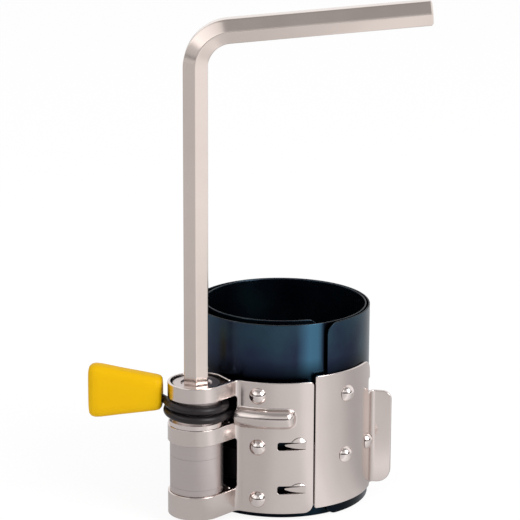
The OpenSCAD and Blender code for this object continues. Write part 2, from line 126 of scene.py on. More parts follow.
# Strap
STRAP_MID = 29.575
STRAP_THICK = 0.35
STRAP_BREAK = 0.06
STRAP_START = -15
STRAP_HEAD_TURN = 58.2
STRAP_HEAD_Z = (4.0, 26.4)
STRAP_NECK_Z = (12.7, 23.3)
NIP_ANGLE = -117.9
NIP_RUN = 11.1

# Rivets: radii and heights from the sheet's face, places as (angle, height)
RIVET_HEAD = 2.85
RIVET_RIM = 0.1
RIVET_DOME = 1.88
RIVET_SHANK = 1.5
RIVET_SHANK_END = -1.6
RIVET_TAIL = 2.4
RIVET_TAIL_BREAK = 0.2
RIVET_TIP = 0.01
BRACKET_TAIL_Z = (-4.43, -3.63)
BRACKET_RIVETS = ((256.2, 43.7), (256.2, 25.7), (256.2, 7.2))
CLAMP_RIVETS = ((-44.5, 42.1), (-45.5, 20.5), (-19, 21.2))

# Wrap spring and grip: the tang as (reach, height) from the spindle,
# the paddle's rings as (reach, half height, half thickness)
WIRE_RADIUS = 1.35
WIRE_SIDES = 28
ANCHOR_ANGLES = (271, 238.4)
COIL_RADIUS = 9.67
COIL_END = -535.0
COIL_Z = (37.2, 41.7)
COIL_STEPS = 170
GRIP_ANGLE = 174.0
GRIP_Z = 43.9
TANG = ((11.9, 42.2), (15, GRIP_Z), (29.6, GRIP_Z))
PADDLE_RINGS = (
    (11.45, 4.2, 2.2), (11.65, 5.0, 3.0), (12.2, 5.6, 3.5), (13.4, 5.95, 3.8), (17.5, 6.6, 4.0),
    (21.6, 7.25, 4.0), (25.7, 7.9, 4.0), (29.6, 8.6, 4.0), (32, 9.0, 4.0), (33.9, 9.15, 3.85),
    (35.1, 8.9, 3.5), (35.9, 8.2, 2.8), (36.15, 7.2, 2.0))
PADDLE_POWERS = (0.62, 0.5)

# Hexagon key
KEY_FLATS = 8.0
KEY_ROUND = 0.45
KEY_Z = (23.0, 154.0)
KEY_BEND = 12.0
KEY_TURN = 84.5
KEY_ARM = 65.0
KEY_BREAK = 0.55
KEY_TIP_SCALE = 0.86


# Lines and outlines

def on_circle(axis, radius, degrees):
    a = math.radians(degrees)
    return (axis[0] + radius * math.cos(a), axis[1] + radius * math.sin(a))


def arc(axis, radius, first, last, step=1.0):
    count = max(1, math.ceil(abs(last - first) / step))
    return [on_circle(axis, radius, first + (last - first) * i / count) for i in range(count + 1)]


def run_lengths(points):
    total, lengths = 0.0, [0.0]
    for a, b in zip(points, points[1:]):
        total += math.dist(a, b)
        lengths.append(total)
    return lengths


def touch_angle(place, radius):
    """Where a straight run from a place meets a circle about the spindle, on its clockwise side."""
    x, y = place[0] - SPINDLE_AXIS[0], place[1] - SPINDLE_AXIS[1]
    return math.degrees(math.atan2(y, x) - math.acos(radius / math.hypot(x, y)))


def soften(points, radius, steps=8):
    """An open line of points with its corners rounded."""
    result = [Vector(points[0])]
    for before, corner, after in zip(points, points[1:], points[2:]):
        before, corner, after = Vector(before), Vector(corner), Vector(after)
        to_a, to_b = (before - corner).normalized(), (after - corner).normalized()
        half = to_a.angle(to_b) / 2
        room = 0.49 * min((before - corner).length, (after - corner).length)
        back = min(radius / math.tan(half), room)
        start, end = corner + to_a * back, corner + to_b * back
        for i in range(steps + 1):
            t = i / steps
            result.append(start * (1 - t) ** 2 + corner * 2 * t * (1 - t) + end * t**2)
    result.append(Vector(points[-1]))
    return [tuple(p) for p in result]


def rounded(corners, steps=7):
    """Closed outline from corners of (along, up, radius)."""
    outline = []
    for i, (x, y, radius) in enumerate(corners):
        before, after = corners[i - 1], corners[(i + 1) % len(corners)]
        if radius <= 0:
            outline.append((x, y))
            continue
        here = Vector((x, y))
        to_a = (Vector(before[:2]) - here).normalized()
        to_b = (Vector(after[:2]) - here).normalized()
        half = to_a.angle(to_b) / 2
        back = radius / math.tan(half)
        centre = here + (to_a + to_b).normalized() * radius / math.sin(half)
        first, last = here + to_a * back - centre, here + to_b * back - centre
        sweep = first.angle_signed(last)
        for k in range(steps + 1):
            outline.append(tuple(centre + Matrix.Rotation(-sweep * k / steps, 2) @ first))
    return outline


def shrunk(outline, by):
    """The outline moved to its left, into the sheet."""
    result = []
    count = len(outline)
    for i in range(count):
        before, here, after = (Vector(outline[k % count]) for k in (i - 1, i, i + 1))
        d0, d1 = (here - before).normalized(), (after - here).normalized()
        n0, n1 = Vector((-d0.y, d0.x)), Vector((-d1.y, d1.x))
        miter = (n0 + n1).normalized()
        result.append(here + miter * by / max(0.35, miter.dot(n0)))
    return result


# Meshes

def empty_piece(name):
    piece = bpy.data.objects.new(name, bpy.data.meshes.new(name))
    bpy.context.scene.collection.objects.link(piece)
    return piece


def sheet_blank(name, outlines, thick, columns, rows, lift, edge):
    """A flat sheet with broken edges: x runs along the path it will follow, y is the height and z the depth.
    The first outline runs anticlockwise and the cut-outs clockwise."""
    shape = bmesh.new()
    half = thick / 2
    borders = ([], [])
    for number, outline in enumerate(outlines):
        broken = CUT_BREAK if number else edge
        rings = []
        for inset, depth in (
                (2.6, half), (1, half), (0, half - broken), (0, broken - half), (1, -half), (2.6, -half)):
            rings.append([shape.verts.new((x, y, depth)) for x, y in shrunk(outline, inset * broken)])
        for upper, lower in zip(rings, rings[1:]):
            for i in range(len(upper)):
                j = (i + 1) % len(upper)
                shape.faces.new((upper[i], lower[i], lower[j], upper[j]))
        for border, ring in zip(borders, (rings[0], rings[-1])):
            for i in range(len(ring)):
                border.append(shape.edges.get((ring[i], ring[(i + 1) % len(ring)])))
    for border in borders:
        bmesh.ops.triangle_fill(shape, use_beauty=True, use_dissolve=False, edges=border)
    bmesh.ops.recalc_face_normals(shape, faces=shape.faces[:])
    for normal, cuts in ((Vector((1, 0, 0)), columns), (Vector((0, 1, 0)), rows)):
        for cut in cuts:
            everything = shape.verts[:] + shape.edges[:] + shape.faces[:]
            bmesh.ops.bisect_plane(shape, geom=everything, dist=1e-4, plane_co=normal * cut, plane_no=normal)
    layer = shape.loops.layers.uv.new("sheet")
    for face in shape.faces:
        face.smooth = True
        for loop in face.loops:
            loop[layer].uv = (loop.vert.co.x * MM, loop.vert.co.y * MM)
    for vert in shape.verts:
        if lift:
            vert.co.z += lift(vert.co.x, vert.co.y)
        vert.co *= MM
    blank = empty_piece(name)
    shape.to_mesh(blank.data)
    shape.free()
    return blank


def from_rings(name, rings, finish, sharp):
    """A closed piece from rings of points, its two ends capped, with edges above an angle kept sharp."""
    shape = bmesh.new()
    loops = [[shape.verts.new([c * MM for c in p]) for p in ring] for ring in rings]
    for a, b in zip(loops, loops[1:]):
        for i in range(len(a)):
            j = (i + 1) % len(a)
            shape.faces.new((a[i], a[j], b[j], b[i]))
    shape.faces.new(loops[0])
    shape.faces.new(loops[-1])
    bmesh.ops.recalc_face_normals(shape, faces=shape.faces[:])
    for face in shape.faces:
        face.smooth = True
    for line in shape.edges:
        line.smooth = line.calc_face_angle() < math.radians(sharp)
    piece = empty_piece(name)
    shape.to_mesh(piece.data)
    shape.free()
    piece.data.materials.append(finish)
    return piece


def guide(name, points):
    """A line for Geometry Nodes to follow, taken away again once it has been followed."""
    curve = bpy.data.curves.new(name, "CURVE")
    curve.dimensions = "3D"
    line = curve.splines.new("POLY")
    line.points.add(len(points) - 1)
    for spot, place in zip(line.points, points):
        spot.co = [c * MM for c in (*place, 0.0)[:3]] + [1.0]
    holder = bpy.data.objects.new(name, curve)
    bpy.context.scene.collection.objects.link(holder)
    return holder


# Node trees

def add(tree, kind, inputs=None, **settings):
    """One node with its settings; each input is another node's output or a plain value."""
    new = tree.nodes.new(kind)
    for setting, value in settings.items():
        setattr(new, setting, value)
    for socket, given in (inputs or {}).items():
        if isinstance(given, bpy.types.NodeSocket):
            tree.links.new(given, new.inputs[socket])
        else:
            new.inputs[socket].default_value = given
    return new


def maths(tree, operation, first, second=0.0):
    return add(tree, "ShaderNodeMath", {0: first, 1: second}, operation=operation).outputs[0]


def vectors(tree, operation, inputs):
    return add(tree, "ShaderNodeVectorMath", inputs, operation=operation).outputs


def split(tree, vector):
    return add(tree, "ShaderNodeSeparateXYZ", {"Vector": vector}).outputs


def new_tree(name, inputs):
    tree = bpy.data.node_groups.new(name, "GeometryNodeTree")
    for label, kind in inputs:
        tree.interface.new_socket(label, in_out="INPUT", socket_type=kind)
    tree.interface.new_socket("Piece", in_out="OUTPUT", socket_type="NodeSocketGeometry")
    return tree, add(tree, "NodeGroupInput").outputs


def close_tree(tree, geometry, finish):
    real = add(tree, "GeometryNodeRealizeInstances", {"Geometry": geometry})
    painted = add(tree, "GeometryNodeSetMaterial", {"Geometry": real.outputs[0], "Material": finish})
    add(tree, "NodeGroupOutput", {"Piece": painted.outputs[0]})
    return tree


def bend_tree():
    """Bends a flat sheet along a line, as a press brake or a rolling mill does."""
    tree, given = new_tree("bend_sheet_along_line", (
        ("Sheet", "NodeSocketGeometry"), ("Line", "NodeSocketObject"), ("Finish", "NodeSocketMaterial")))
    line = add(tree, "GeometryNodeObjectInfo", {"Object": given["Line"]}).outputs["Geometry"]
    flat = split(tree, add(tree, "GeometryNodeInputPosition").outputs[0])
    spot = add(tree, "GeometryNodeSampleCurve", {"Curves": line, "Length": flat["X"]},
               mode="LENGTH", use_all_curves=True).outputs
    outward = vectors(tree, "CROSS_PRODUCT", {0: (0, 0, 1), 1: spot["Tangent"]})
    unit = vectors(tree, "NORMALIZE", {0: outward[0]})
    depth = vectors(tree, "SCALE", {0: unit[0], "Scale": flat["Z"]})
    rise = add(tree, "ShaderNodeCombineXYZ", {"Z": flat["Y"]}).outputs
    foot = vectors(tree, "ADD", {0: spot["Position"], 1: depth[0]})
    bent = vectors(tree, "ADD", {0: foot[0], 1: rise[0]})
    moved = add(tree, "GeometryNodeSetPosition", {"Geometry": given["Sheet"], "Position": bent[0]})
    return close_tree(tree, moved.outputs[0], given["Finish"])


def wire_tree():
    """Round wire drawn along a line, with closed ends."""
    tree, given = new_tree("wire_along_line", (
        ("Line", "NodeSocketObject"), ("Wire radius", "NodeSocketFloat"), ("Sides", "NodeSocketInt"),
        ("Finish", "NodeSocketMaterial")))
    line = add(tree, "GeometryNodeObjectInfo", {"Object": given["Line"]}).outputs["Geometry"]
    ring = add(tree, "GeometryNodeCurvePrimitiveCircle", {
        "Radius": given["Wire radius"], "Resolution": given["Sides"]})
    wire = add(tree, "GeometryNodeCurveToMesh", {
        "Curve": line, "Profile Curve": ring.outputs[0], "Fill Caps": True})
    smooth = add(tree, "GeometryNodeSetShadeSmooth", {"Geometry": wire.outputs[0]})
    return close_tree(tree, smooth.outputs[0], given["Finish"])


def rivet_tree():
    """Sets one rivet on every point, its axis along the point's own outward direction."""
    tree, given = new_tree("rivets_on_points", (
        ("Points", "NodeSocketGeometry"), ("Rivet", "NodeSocketObject"), ("Finish", "NodeSocketMaterial")))
    rivet = add(tree, "GeometryNodeObjectInfo", {"Object": given["Rivet"], "As Instance": True})
    outward = add(tree, "GeometryNodeInputNamedAttribute", {"Name": "outward"}, data_type="FLOAT_VECTOR")
    aim = add(tree, "FunctionNodeAlignRotationToVector", {"Vector": outward.outputs[0]}, axis="Z")
    spots = add(tree, "GeometryNodeMeshToPoints", {"Mesh": given["Points"]})
    set_in = add(tree, "GeometryNodeInstanceOnPoints", {
        "Points": spots.outputs[0], "Instance": rivet.outputs["Geometry"], "Rotation": aim.outputs[0]})
    return close_tree(tree, set_in.outputs[0], given["Finish"])


def make(piece, tree, inputs, helper):
    """Runs the tree on a piece, keeps the result as a plain mesh and removes the helper it followed."""
    nodes = piece.modifiers.new(tree.name, "NODES")
    nodes.node_group = tree
    for item in tree.interface.items_tree:
        if item.in_out == "INPUT" and item.name in inputs:
            nodes[item.identifier] = inputs[item.name]
    view = bpy.context.evaluated_depsgraph_get()
    view.update()
    mesh = bpy.data.meshes.new_from_object(
        piece.evaluated_get(view), preserve_all_data_layers=True, depsgraph=view)
    piece.modifiers.clear()
    piece.data = mesh
    mesh.name = piece.name
    bpy.data.objects.remove(helper)
    return piece


# Finishes: pattern sizes are millimetres on the piece

def linear(code):
    """sRGB hex to the linear colour that a shader takes."""
    parts = [int(code[i:i + 2], 16) / 255 for i in (1, 3, 5)]
    return [c / 12.92 if c <= 0.04045 else ((c + 0.055) / 1.055) ** 2.4 for c in parts] + [1.0]


def new_finish(name):
    finish = bpy.data.materials.new(name)
    finish.use_nodes = True
    tree = finish.node_tree
    tree.nodes.clear()
    return finish, tree, add(tree, "ShaderNodeTexCoord").outputs


def close_finish(tree, inputs):
    shader = add(tree, "ShaderNodeBsdfPrincipled", inputs)
    add(tree, "ShaderNodeOutputMaterial", {"Surface": shader.outputs[0]})


def clouds(tree, place, size, detail):
    """Soft random patches of one size, or of a size along each axis."""
    scale = 1.0
    if isinstance(size, tuple):
        stretch = {"Vector": place, "Scale": [1 / (s * MM) for s in size]}
        place = add(tree, "ShaderNodeMapping", stretch).outputs[0]
    else:
        scale = 1 / (size * MM)
    return add(tree, "ShaderNodeTexNoise", {"Vector": place, "Scale": scale, "Detail": detail}).outputs["Fac"]


def between(tree, value, low, high):
    """A value of 0 to 1 spread from low to high."""
    return add(tree, "ShaderNodeMapRange", {"Value": value, "To Min": low, "To Max": high}).outputs[0]


def fade(tree, value, start, end):
    """0 before the start, 1 past the end."""
    return add(tree, "ShaderNodeMapRange", {"Value": value, "From Min": start, "From Max": end}).outputs[0]


def blend_colours(tree, factor, first, second):
    """A colour between two, each an sRGB code or another node's output."""
    a, b = (linear(c) if isinstance(c, str) else c for c in (first, second))
    return add(tree, "ShaderNodeMix", {"Factor": factor, "A": a, "B": b}, data_type="RGBA").outputs["Result"]


def nickel_plated_sheet():
    """Bright nickel over rolled sheet: a warm pale metal, satin from the rolling, with a faint lengthwise grain."""
    finish, tree, place = new_finish("nickel_plated_rolled_sheet")
    grain = clouds(tree, place["UV"], (12, 0.9, 1), 3)
    bump = add(tree, "ShaderNodeBump", {"Height": grain, "Strength": 0.012, "Distance": 0.2 * MM})
    close_finish(tree, {
        "Base Color": blend_colours(tree, clouds(tree, place["Object"], 16, 2), "#DACEC9", "#E4D9D5"),
        "Roughness": between(tree, grain, 0.18, 0.22), "Metallic": 1.0, "Normal": bump.outputs[0]})
    return finish


def blued_spring_steel():
    """Heat-blued spring strip: a slate oxide skin with teal clouds and a paler band that is a painted reflection of a
    soft box, black on its cut edges, and painted shade above the plates and beside the lap."""
    finish, tree, place = new_finish("heat_blued_spring_strip")
    temper = clouds(tree, place["UV"], (18, 22, 1), 3)
    skin = blend_colours(tree, fade(tree, temper, 0.35, 0.65), "#2C354B", "#36505E")
    strip, spot = split(tree, place["UV"]), split(tree, place["Object"])
    # Painted reflection: a paler blue band across the strip, where a soft box on the right would show.
    reflection_band_rises = fade(tree, strip["X"], 171.2 * MM, 173.8 * MM)
    reflection_band_falls = fade(tree, strip["X"], 181.2 * MM, 176.8 * MM)
    with_painted_reflection = blend_colours(tree, maths(tree, "MULTIPLY", reflection_band_rises, reflection_band_falls), skin, "#446D87")
    # Painted shade: a dark band just beside the edge of the outer lap.
    lap_shade_rises = fade(tree, strip["X"], 164.0 * MM, 166.0 * MM)
    lap_shade_falls = fade(tree, strip["X"], 172.8 * MM, 171.4 * MM)
    painted_lap_shade = maths(tree, "MULTIPLY", lap_shade_rises, lap_shade_falls)
    # Painted shade: darker on the front, low down, just above the plates.
    low = fade(tree, strip["Y"], 55.5 * MM, 49.5 * MM)
    front = fade(tree, spot["Y"], -8 * MM, -18 * MM)
    painted_plate_shade = maths(tree, "MULTIPLY", low, front)
    facing = split(tree, add(tree, "ShaderNodeNewGeometry").outputs["Normal"])
    cut = fade(tree, maths(tree, "ABSOLUTE", facing["Z"]), 0.25, 0.6)
    dark = maths(tree, "MAXIMUM", maths(tree, "MAXIMUM", painted_lap_shade, painted_plate_shade), cut)
    close_finish(tree, {
        "Base Color": blend_colours(tree, maths(tree, "MULTIPLY", dark, 0.9), with_painted_reflection, "#04060B"),
        "Roughness": between(tree, temper, 0.24, 0.3), "Metallic": maths(tree, "SUBTRACT", 1.0, cut),
        "Specular IOR Level": between(tree, cut, 0.5, 0.06)})
    return finish


def bright_rivet_steel():
    """Cold-headed rivet steel, plated: polished by the die, so that it mirrors the room in a dome."""
    finish, tree, place = new_finish("plated_cold_headed_steel")
    marks = clouds(tree, place["Object"], 1.2, 2)
    close_finish(tree, {
        "Base Color": linear("#EADFDB"), "Roughness": between(tree, marks, 0.08, 0.14), "Metallic": 1.0})
    return finish


def turned_steel():
    """Turned bar: a warm satin grey with faint rings from the tool, and painted shade as a dark ring round its top
    edge, inside the top loop.
    """
    finish, tree, place = new_finish("turned_bar_steel")
    rings = clouds(tree, place["Object"], (50, 50, 0.6), 2)
    tone = blend_colours(tree, rings, "#CDC2C0", "#D3C9C7")
    axis = [c * MM for c in SPINDLE_AXIS] + [0]
    spoke = vectors(tree, "SUBTRACT", {0: place["Object"], 1: axis})
    level_spoke = vectors(tree, "MULTIPLY", {0: spoke[0], 1: (1, 1, 0)})
    reach = vectors(tree, "LENGTH", {0: level_spoke[0]})["Value"]
    # Painted shade: a dark, unmetallic ring round the top edge, in the gap inside the top loop.
    rim = fade(tree, reach, 7.65 * MM, 7.85 * MM)
    top = fade(tree, split(tree, place["Object"])["Z"], 46.2 * MM, 46.6 * MM)
    painted_shade = maths(tree, "MULTIPLY", rim, top)
    close_finish(tree, {
        "Base Color": blend_colours(tree, painted_shade, tone, "#0A090A"),
        "Roughness": between(tree, rings, 0.3, 0.38), "Metallic": maths(tree, "SUBTRACT", 1.0, painted_shade)})
    return finish


def strap_steel():
    """Cold-rolled spring strip: satin grey and bright at its riveted head, with painted shade, near black, along its
    narrow run.
    """
    finish, tree, place = new_finish("oiled_cold_rolled_strip")
    patches = clouds(tree, place["Object"], 6, 3)
    # Painted shade: near black along the narrow run, where it passes behind the bracket plate to the roll.
    painted_shade = fade(tree, split(tree, place["UV"])["X"], 33 * MM, 36 * MM)
    bright = blend_colours(tree, patches, "#C8C1BE", "#D0C9C6")
    close_finish(tree, {
        "Base Color": blend_colours(tree, painted_shade, bright, "#1C1B1E"),
        "Roughness": between(tree, patches, 0.28, 0.42), "Metallic": 1.0})
    return finish


def phosphated_wire():
    """Oiled black phosphate on spring wire: nearly black, a little brown, with a soft broad sheen."""
    finish, tree, place = new_finish("phosphated_spring_wire")
    grain = clouds(tree, place["Object"], 0.8, 3)
    close_finish(tree, {
        "Base Color": blend_colours(tree, grain, "#1D191B", "#2E282B"),
        "Roughness": between(tree, grain, 0.3, 0.45), "Metallic": 0.35})
    return finish


def moulded_yellow():
    """Injection-moulded soft plastic: strong warm yellow, even, with a fine spark texture that spreads highlights."""
    finish, tree, place = new_finish("moulded_yellow_plastic")
    spark = clouds(tree, place["Object"], 0.7, 2)
    bump = add(tree, "ShaderNodeBump", {"Height": spark, "Strength": 0.12, "Distance": 0.1 * MM})
    close_finish(tree, {
        "Base Color": blend_colours(tree, clouds(tree, place["Object"], 20, 1), "#F0B900", "#F5C300"),
        "Roughness": 0.5, "IOR": 1.5, "Specular IOR Level": 0.12, "Normal": bump.outputs[0]})
    return finish


def nickel_plated_bar():
    """Nickel over cold-drawn hexagon bar: pale, warm and bright, with faint cloudy patches from the drawing."""
    finish, tree, place = new_finish("nickel_plated_drawn_bar")
    patches = clouds(tree, place["Object"], 10, 4)
    close_finish(tree, {
        "Base Color": blend_colours(tree, patches, "#DFD1CA", "#E9DCD5"),
        "Roughness": between(tree, patches, 0.15, 0.21), "Metallic": 1.0})
    return finish


NICKEL = nickel_plated_sheet()
BLUED = blued_spring_steel()
RIVET = bright_rivet_steel()
TURNED = turned_steel()
STRAP = strap_steel()
WIRE = phosphated_wire()
YELLOW = moulded_yellow()
KEY = nickel_plated_bar()
BEND = bend_tree()
DRAW = wire_tree()
SET_RIVETS = rivet_tree()


def bent_sheet(name, line, outlines, thick, finish, rows=(), lift=None, edge=PLATE_BREAK, every=1):
    """A blank whose columns fall on the line's points, bent along that line."""
    blank = sheet_blank(name, outlines, thick, run_lengths(line)[1:-1:every], rows, lift, edge)
    path = guide(name + "_line", line)
    return make(blank, BEND, {"Line": path, "Finish": finish}, path)


# The wound sleeve: each half turn is an arc about its own centre, running clockwise to the outside
turns = arc(*TURN_ARCS[0])
for half_turn in TURN_ARCS[1:]:
    turns += arc(*half_turn)[1:]
turns_length = run_lengths(turns)[-1]
inner_turns = bent_sheet("sleeve_inner_turns", turns, [rounded([
    (0, 0, BAND_CORNER), (turns_length, 0, 0), (turns_length, BAND_HEIGHT, 0), (0, BAND_HEIGHT, BAND_CORNER)])],
    BAND_THICK, BLUED, edge=BAND_BREAK, every=2)
lap = arc(*LAP_ARC)
lap_length = run_lengths(lap)[-1]
outer_lap = bent_sheet("sleeve_outer_lap", lap, [rounded([
    (0, 0, 0), (lap_length, 0, BAND_CORNER), (lap_length, BAND_HEIGHT, BAND_CORNER), (0, BAND_HEIGHT, 0)])],
    BAND_THICK, BLUED, edge=BAND_BREAK, every=2)

# The bracket plate: one pressing, from the slit round to the fold and out into the three loops
wall = arc(LAP_AXIS, BRACKET_MID, BRACKET_EDGE, FOLD_ANGLE, 0.5)
fold_axis = on_circle(LAP_AXIS, BRACKET_MID + FOLD_RADIUS, FOLD_ANGLE)
strip_angle = touch_angle(fold_axis, LOOP_MID + FOLD_RADIUS)
fold = arc(fold_axis, FOLD_RADIUS, FOLD_ANGLE - 180, strip_angle + 180, 6.0)
loop = arc(SPINDLE_AXIS, LOOP_MID, strip_angle, LOOP_LOOSENS, 3.0)
loosening_steps = 27
for i in range(1, loosening_steps + 1):
    t = i / loosening_steps
    wider = LOOP_MID + (LOOP_LOOSE[1] - LOOP_MID) * t * t * (3 - 2 * t)
    loop.append(on_circle(SPINDLE_AXIS, wider, LOOP_LOOSENS + (LOOP_LOOSE[0] - LOOP_LOOSENS) * t))
bracket_line = wall + fold[1:] + loop + [LOOP_LIP]
fold_at = run_lengths(wall)[-1]
loop_end = run_lengths(bracket_line)[-1]
window_turn = math.degrees(math.acos((WINDOW_X - fold_axis[0]) / FOLD_RADIUS)) - (FOLD_ANGLE - 180)
window = fold_at + math.radians(window_turn) * FOLD_RADIUS
lance_root = math.radians(BRACKET_EDGE - LANCE_ANGLE) * BRACKET_MID


def tongue_half(along):
    """Half the height of a tongue: nearly its slot's at the root, narrowing like a leaf to its tip."""
    t = min(1.0, max(0.0, (along - lance_root) / TONGUE_LENGTH))
    return LANCE_HEIGHT / 2 - TONGUE_GAP - TONGUE_NARROWS * t**TONGUE_LEAF


def tongue_lift(along, up):
    """The two tongues are bent in from their roots, and the press leaves a raised lip above each."""
    past = along - lance_root
    lift = 0.0
    for height, rise in zip(LANCE_HEIGHTS, LIP_RISES):
        above = up - height - LANCE_HEIGHT / 2
        inside = rise * (1 - ((past - LIP_MIDDLE) / LIP_HALF) ** 2) - above
        if above > -TOUCH and inside > LIP_ROUND:
            lift += LIP_SLOPE * (inside - LIP_ROUND / 2)
        elif above > -TOUCH and inside > 0:
            lift += LIP_SLOPE * inside**2 / (2 * LIP_ROUND)
        if 0.0 < past < TONGUE_LENGTH + TOUCH and abs(up - height) < tongue_half(along) + TOUCH:
            lift -= past * math.tan(math.radians(TONGUE_BEND))
    return lift


def lance(height):
    """Cut-out round a tongue whose root is at its right end and whose upper edge lies a little lower."""
    half, end, corner = LANCE_HEIGHT / 2, lance_root + LANCE_LENGTH, LANCE_CORNER
    stations = [lance_root + TONGUE_LENGTH * i / 10 for i in range(11)]
    upper = [(x, tongue_half(x) - TONGUE_DROP * min(1.0, (x - lance_root) / TONGUE_DROP_RUN)) for x in stations]
    lower = [(x, -tongue_half(x)) for x in stations[::-1]]
    slot = [(end - corner, -half), (end, corner - half), (end, half - corner), (end - corner, half)]
    outline = [(lance_root, half)] + upper + lower + [(lance_root, -half)] + slot
    return [(x, height + y) for x, y in outline[::-1]]


def bead_rise(off, depth):
    """How far the press pushes the sheet out, at a distance from the bead's spine and a depth in the sheet."""
    if off < BEAD_DOME:
        outer = math.sqrt(BEAD_RADIUS**2 - off**2) - PLATE_THICK / 2
    else:
        outer = BEAD_FILLET - math.sqrt(BEAD_FILLET**2 - (BEAD_REACH - off) ** 2)
    if off < BEAD_HOLLOW:
        inner = math.sqrt(BEAD_HOLLOW**2 - off**2) + PLATE_THICK / 2
    else:
        inner = max(0.0, BEAD_HOLLOW + PLATE_THICK / 2 - off)
    share = depth / PLATE_THICK + 0.5
    return inner + (outer - inner) * share


def press_bead(mesh):
    """Presses the anchor bead into the bent sheet: open towards the spindle, domed at its other end."""
    for vert in mesh.vertices:
        x, y, z = (c / MM for c in vert.co)
        angle = math.degrees(math.atan2(y - LAP_AXIS[1], x - LAP_AXIS[0])) % 360
        if x < WINDOW_X - TOUCH or not BEAD_ANGLES[0] < angle < BEAD_ANGLES[1]:
            continue
        past = math.radians(max(0.0, angle - BEAD_END)) * BRACKET_MID
        off = (past**BEAD_SQUARENESS + abs(z - BEAD_Z) ** BEAD_SQUARENESS) ** (1 / BEAD_SQUARENESS)
        if off > BEAD_REACH - TOUCH / 2:
            continue
        reach = math.dist((x, y), LAP_AXIS)
        depth = reach - BRACKET_MID if angle > FOLD_ANGLE else FOLD_RADIUS - math.dist((x, y), fold_axis)
        depth = min(PLATE_THICK / 2, max(-PLATE_THICK / 2, depth))
        pressed = max(reach, BRACKET_MID + depth + bead_rise(off, depth))
        vert.co = [c * MM for c in (*on_circle(LAP_AXIS, pressed, angle), z)]


bracket_outline = [(0, BRACKET_Z[0], BRACKET_CORNERS[0]), (loop_end, BRACKET_Z[0], LOOP_CORNER)]
for (_, lower_top), (upper_foot, _) in zip(LOOP_HEIGHTS, LOOP_HEIGHTS[1:]):
    bracket_outline += [
        (loop_end, lower_top, LOOP_CORNER), (window, lower_top, WINDOW_CORNER),
        (window, upper_foot, WINDOW_CORNER), (loop_end, upper_foot, LOOP_CORNER)]
bracket_outline += [(loop_end, BRACKET_Z[1], LOOP_CORNER), (0, BRACKET_Z[1], BRACKET_CORNERS[1])]
bracket_rows = [BEAD_Z + BEAD_RADIUS * math.sin(math.radians(a)) for a in range(-90, 91, 6)]
bracket_rows += [BEAD_Z + off for off in BEAD_FLAT_ROWS]
bracket_rows += [height + off for height in LANCE_HEIGHTS for off in LANCE_ROWS]
bracket_cuts = [rounded(bracket_outline)] + [lance(height) for height in LANCE_HEIGHTS]
bracket = bent_sheet(
    "bracket_pressing", bracket_line, bracket_cuts, PLATE_THICK, NICKEL, bracket_rows, tongue_lift)
press_bead(bracket.data)

# The clamp plate: one pressing, from the flange's tip round the bend and along to the slit
flange = [(reach, FLANGE_BEND) for reach in FLANGE_RUN]
flange += arc((CLAMP_MID + FLANGE_BEND, 0), FLANGE_BEND, 90, 171, 9)
flange_turn = Matrix.Rotation(math.radians(FLANGE_ANGLE), 2)
clamp_line = [tuple(flange_turn @ Vector(p) + Vector(LAP_AXIS)) for p in flange]
clamp_line += arc(LAP_AXIS, CLAMP_MID, FLANGE_ANGLE, CLAMP_EDGE)
clamp_length = run_lengths(clamp_line)[-1]


def along_clamp(degrees):
    return clamp_length - math.radians(degrees - CLAMP_EDGE) * CLAMP_MID


bend_at = along_clamp(FLANGE_ANGLE)
notch_from, notch_to = (along_clamp(angle) for angle in NOTCH_ANGLES)
clamp = bent_sheet("clamp_pressing", clamp_line, [rounded([
    (0, FLANGE_Z[0], 5), (bend_at - 0.8, FLANGE_Z[0], 0.5), (bend_at + 0.6, CLAMP_Z[0], 0.5),
    (clamp_length, CLAMP_Z[0], 0.9), (clamp_length, CLAMP_Z[1], 0.9), (notch_from, CLAMP_Z[1], 5.5),
    (notch_from, NOTCH_TOP, 0.5), (notch_to, NOTCH_TOP, 0.5), (notch_to, FLANGE_Z[1], 0.8),
    (0, FLANGE_Z[1], 3)])], PLATE_THICK, NICKEL)

# The strap: from its wide head under the clamp plate, behind the bracket plate and on to the roll
strap_line = arc(LAP_AXIS, STRAP_MID, STRAP_START, NIP_ANGLE)
strap_line.append(on_circle(strap_line[-1], NIP_RUN, NIP_ANGLE - 90))
strap_length = run_lengths(strap_line)[-1]
neck = math.radians(STRAP_HEAD_TURN) * STRAP_MID
strap = bent_sheet("strap_run", strap_line, [rounded([
    (0, STRAP_HEAD_Z[0], 2), (neck, STRAP_HEAD_Z[0], 2), (neck, STRAP_NECK_Z[0], 0.5),
    (strap_length, STRAP_NECK_Z[0], 0), (strap_length, STRAP_NECK_Z[1], 0), (neck, STRAP_NECK_Z[1], 0.5),
    (neck, STRAP_HEAD_Z[1], 1.2), (0, STRAP_HEAD_Z[1], 2)])], STRAP_THICK, STRAP, edge=STRAP_BREAK)


def headed_rivet(name, tail):
    """Domed head with a short straight rim, its shank and, where it is headed over inside, a tail."""
    if tail:
        profile = [
            (RIVET_TIP, tail[0]), (RIVET_TAIL - RIVET_TAIL_BREAK, tail[0]),
            (RIVET_TAIL, tail[0] + RIVET_TAIL_BREAK), (RIVET_TAIL, tail[1]), (RIVET_SHANK, tail[1])]
    else:
        profile = [(RIVET_TIP, RIVET_SHANK_END), (RIVET_SHANK, RIVET_SHANK_END)]
    profile += [(RIVET_SHANK, -TOUCH), (RIVET_HEAD - 0.05, -TOUCH), (RIVET_HEAD, RIVET_RIM)]
    dome = (RIVET_HEAD**2 + RIVET_DOME**2) / 2 / RIVET_DOME
    start = math.asin(RIVET_HEAD / dome)
    top = RIVET_RIM + RIVET_DOME
    for i in range(1, 12):
        a = start * (1 - i / 12)
        profile.append((dome * math.sin(a), top - dome * (1 - math.cos(a))))
    profile.append((RIVET_TIP, top))
    rings = [[on_circle((0, 0), r, 9 * k) + (z,) for k in range(40)] for r, z in profile]
    return from_rings(name, rings, RIVET, sharp=40)


